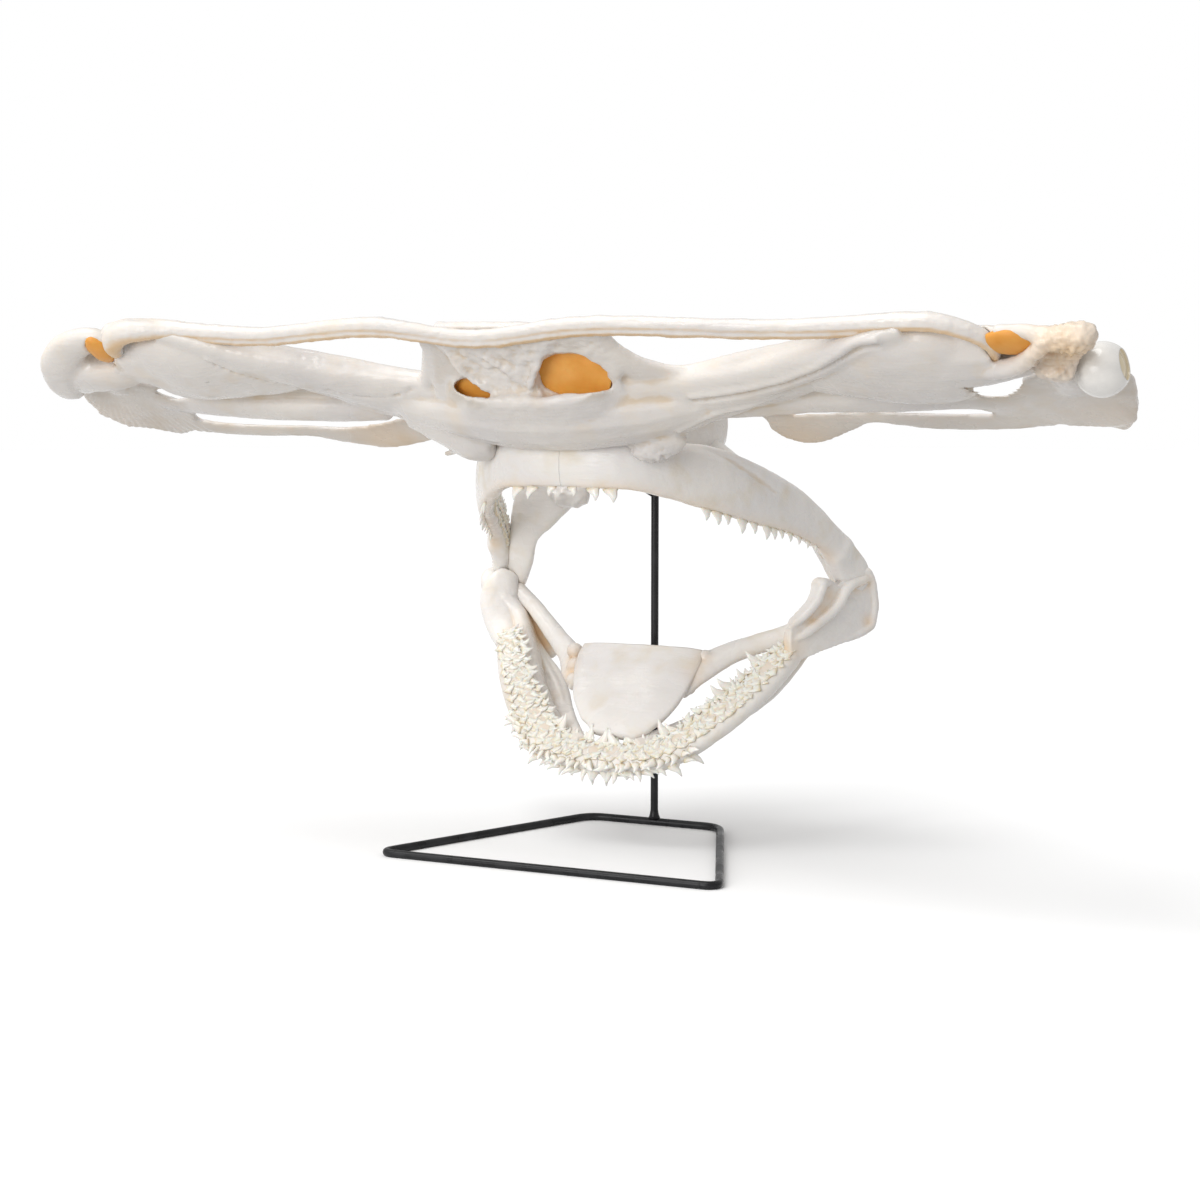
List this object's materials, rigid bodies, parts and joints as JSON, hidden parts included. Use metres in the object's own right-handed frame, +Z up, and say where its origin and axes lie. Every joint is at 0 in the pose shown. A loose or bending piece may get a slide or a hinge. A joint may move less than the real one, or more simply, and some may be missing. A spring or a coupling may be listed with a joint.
{
  "type": "hammerhead shark skull on a stand",
  "caption": "Cleaned hammerhead shark skull with a wide hammer, eyes and open toothed jaws, held up by a bent black rod stand for display.",
  "frame": {"origin": "on the floor under the middle of the whole model's box", "axes": "+Z up, -Y towards the snout, +X towards the animal's left along the width of the hammer"},
  "size_m": [0.6908, 0.2688, 0.3285],
  "materials": {
    "cartilage": "bleached dried cartilage, satin",
    "jaw_cartilage": "bleached dried cartilage with teeth, satin",
    "sclera": "pearly dried eye capsule, satin",
    "black_steel": "satin black"
  },
  "bodies": {
    "root": {"braincase": "cartilage", "front_wall": "cartilage", "rostral_bar": "cartilage", "basihyal": "jaw_cartilage", "stand_base": "black_steel", "stand_rod": "black_steel", "wing_left": "cartilage", "postorbital_left": "cartilage", "eye_left": "sclera", "upper_jaw_left": "jaw_cartilage", "lower_jaw_left": "jaw_cartilage", "hyomandibula_left": "jaw_cartilage", "ceratohyal_left": "jaw_cartilage", "wing_right": "cartilage", "postorbital_right": "cartilage", "eye_right": "sclera", "upper_jaw_right": "jaw_cartilage", "lower_jaw_right": "jaw_cartilage", "hyomandibula_right": "jaw_cartilage", "ceratohyal_right": "jaw_cartilage"}
  },
  "joints": []
}
